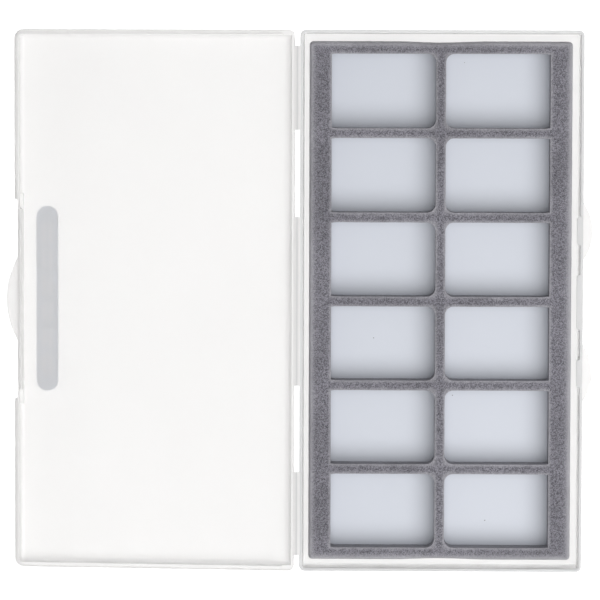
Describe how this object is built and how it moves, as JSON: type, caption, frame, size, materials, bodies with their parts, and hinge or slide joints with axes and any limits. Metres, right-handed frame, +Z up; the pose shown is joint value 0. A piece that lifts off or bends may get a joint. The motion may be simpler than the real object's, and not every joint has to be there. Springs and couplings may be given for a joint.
{
  "type": "hinged compartment case",
  "caption": "Slim translucent plastic case on a living hinge, opened flat, with a grey foam divider that makes rows of shallow pockets over a pale floor sheet, a snap latch and thumb tabs",
  "frame": {"origin": "centre of the tray's flat underside, on the table", "axes": "+Z up out of the tray's pockets, +X from the hinge to the tray's free side, +Y along the hinge"},
  "size_m": [0.206, 0.19, 0.0141],
  "materials": {
    "frosted_case": "translucent moulded polypropylene, satin",
    "frosted_lid": "translucent moulded polypropylene, satin",
    "hinge_film": "translucent polypropylene, stretched white at the fold",
    "foam": "matt closed-cell foam with fine grain",
    "floor_sheet": "smooth satin sheet",
    "adhesive": "double-sided adhesive film",
    "label": "plain pill-shaped inlay, satin"
  },
  "bodies": {
    "tray": {"case_base": "frosted_case", "sheet_adhesive": "adhesive", "floor_sheet": "floor_sheet", "foam_adhesive": "adhesive", "foam_core": "foam", "foam_rail_inner": "foam", "foam_rail_outer": "foam", "hinge_web_rear": "hinge_film", "hinge_web_middle": "hinge_film", "hinge_web_front": "hinge_film"},
    "lid": {"case_lid": "frosted_lid", "label_inlay": "label"}
  },
  "joints": [
    {"name": "lid_hinge", "type": "hinge", "parent": "tray", "child": "lid", "pos_m": [-0.05057, 0, 0.013], "axis": [0, 1, 0], "range_deg": [0, 185.21], "deforming": ["hinge_web_rear", "hinge_web_middle", "hinge_web_front"]}
  ]
}
